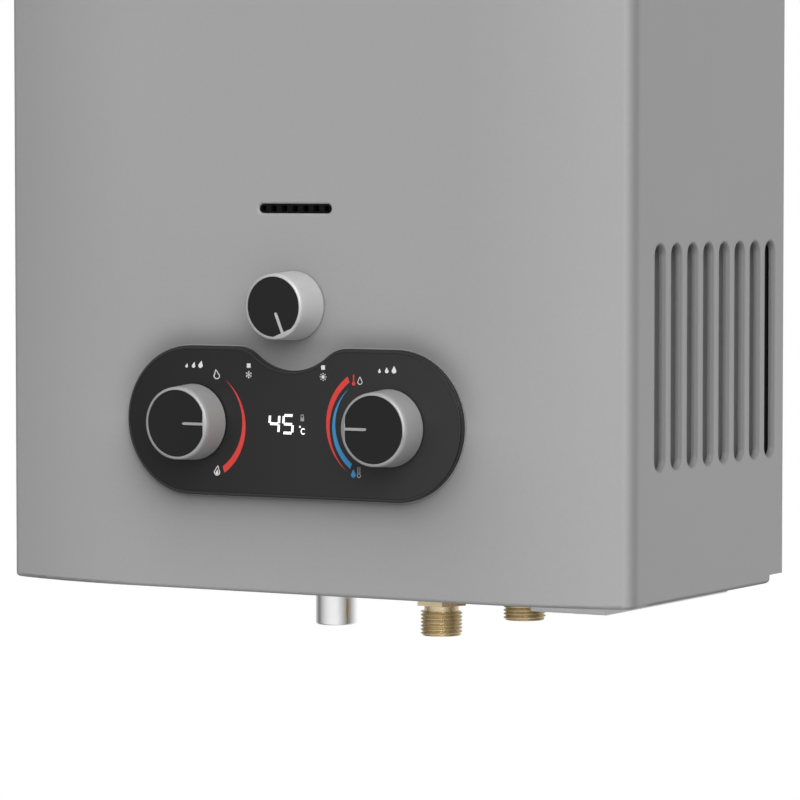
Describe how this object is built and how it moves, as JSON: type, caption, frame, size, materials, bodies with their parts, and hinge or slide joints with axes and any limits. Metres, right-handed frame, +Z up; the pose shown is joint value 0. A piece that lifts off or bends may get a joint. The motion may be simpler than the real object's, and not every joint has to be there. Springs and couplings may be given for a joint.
{
  "type": "tankless gas water heater",
  "caption": "Wall-hung instantaneous gas water heater with a bowed steel cover, a control panel with turning knobs, pipe connections below and a flue collar on top.",
  "frame": {"origin": "centre of the four wall fixings, on the back plate's rear face, half way up the casing", "axes": "+X to the right seen from the front, +Y into the wall, +Z up"},
  "size_m": [0.354, 0.2025, 0.6562],
  "materials": {
    "silver_paint": "fine metallic silver-grey stoving paint, satin",
    "zinc_sheet": "zinc-coated sheet, dull",
    "steel": "bare and plated steel",
    "knob_metal": "satin silver",
    "cast_alloy": "die-cast, lightly grained",
    "brass": "turned brass",
    "copper": null,
    "hot_fitting": "plated",
    "black_plastic": "smooth black",
    "panel_sheet": "dark smoked face sheet with printed scales",
    "circuit_board": "lacquered board",
    "light_plastic": "light grey",
    "ivory_plastic": "plain",
    "ceramic": "glazed ceramic with a steel tip",
    "clear_glass": "clear",
    "blue_coil": "wound coil under film",
    "cell_sleeve": "plain printed sleeve",
    "cable": "silicone sleeve"
  },
  "bodies": {
    "heater": {"front_cover": "silver_paint", "cover_screws": "steel", "back_plate": "zinc_sheet", "top_panel": "zinc_sheet", "bottom_panel": "zinc_sheet", "side_baffle_left": "zinc_sheet", "side_baffle_right": "zinc_sheet", "viewing_grille": "black_plastic", "viewing_glass": "clear_glass", "control_panel": "black_plastic", "panel_face": "panel_sheet", "display_module": "circuit_board", "gas_inlet": "brass", "gas_pipe": "steel", "gas_valve": "cast_alloy", "solenoid_valve": "blue_coil", "valve_bracket": "zinc_sheet", "gas_manifold": "cast_alloy", "season_valve": "cast_alloy", "burner_bars": "steel", "burner_frame": "zinc_sheet", "cold_inlet": "brass", "feed_pipe": "copper", "water_valve": "brass", "diaphragm_cover": "brass", "valve_screws": "steel", "flow_switch": "black_plastic", "cold_pipe": "copper", "water_coil": "copper", "combustion_chamber": "copper", "chamber_brackets": "zinc_sheet", "fin_stack": "copper", "fin_tubes": "copper", "hot_pipe": "copper", "hot_outlet": "hot_fitting", "pipe_nuts": "brass", "temperature_sensor": "brass", "overheat_cutout": "black_plastic", "exhaust_hood": "zinc_sheet", "flue_collar": "zinc_sheet", "control_box": "black_plastic", "ignition_electrodes": "ceramic", "wiring": "cable", "battery_box": "light_plastic", "batteries": "cell_sleeve", "battery_contacts": "steel"},
    "season_knob": {"season_knob": "knob_metal", "season_knob_inlay": "black_plastic", "season_spindle": "brass"},
    "temp_knob": {"temp_knob": "knob_metal", "temp_knob_inlay": "black_plastic", "temp_spindle": "brass"},
    "water_knob": {"water_knob": "knob_metal", "water_knob_inlay": "black_plastic", "water_spindle": "brass"},
    "push_rod": {"push_rod": "steel"},
    "switch_lever": {"switch_lever": "steel"},
    "drain_plug": {"drain_plug": "ivory_plastic"},
    "battery_door": {"battery_door": "light_plastic"}
  },
  "joints": [
    {"name": "season_knob_turn", "type": "hinge", "parent": "heater", "child": "season_knob", "pos_m": [0, -0.182, -0.1548], "axis": [0, -1, 0], "range_deg": [-67.5, 22.5]},
    {"name": "temp_knob_turn", "type": "hinge", "parent": "heater", "child": "temp_knob", "pos_m": [-0.0552, -0.186, -0.2123], "axis": [0, -1, 0], "range_deg": [-55, 55]},
    {"name": "water_knob_turn", "type": "hinge", "parent": "heater", "child": "water_knob", "pos_m": [0.0552, -0.186, -0.2123], "axis": [0, -1, 0], "range_deg": [-55, 55]},
    {"name": "push_rod_slide", "type": "slide", "parent": "heater", "child": "push_rod", "axis": [-1, 0, 0], "range_m": [0, 0.0035], "stiffness_N_per_m": 300, "springref_m": -0.004},
    {"name": "switch_lever_hinge", "type": "hinge", "parent": "heater", "child": "switch_lever", "pos_m": [0.0085, -0.13, -0.188], "axis": [0, 1, 0], "range_deg": [0, 12.2]},
    {"name": "drain_plug_turn", "type": "hinge", "parent": "heater", "child": "drain_plug", "pos_m": [0.0552, -0.13, -0.295], "axis": [0, 0, -1], "range_deg": [0, 180]},
    {"name": "battery_door_hinge", "type": "hinge", "parent": "heater", "child": "battery_door", "pos_m": [0.1335, -0.0145, -0.2978], "axis": [1, 0, 0], "range_deg": [0, 90]}
  ],
  "couplings": [
    {"joint": "switch_lever_hinge", "follows": "push_rod_slide", "rad_per_m": 60.4}
  ]
}
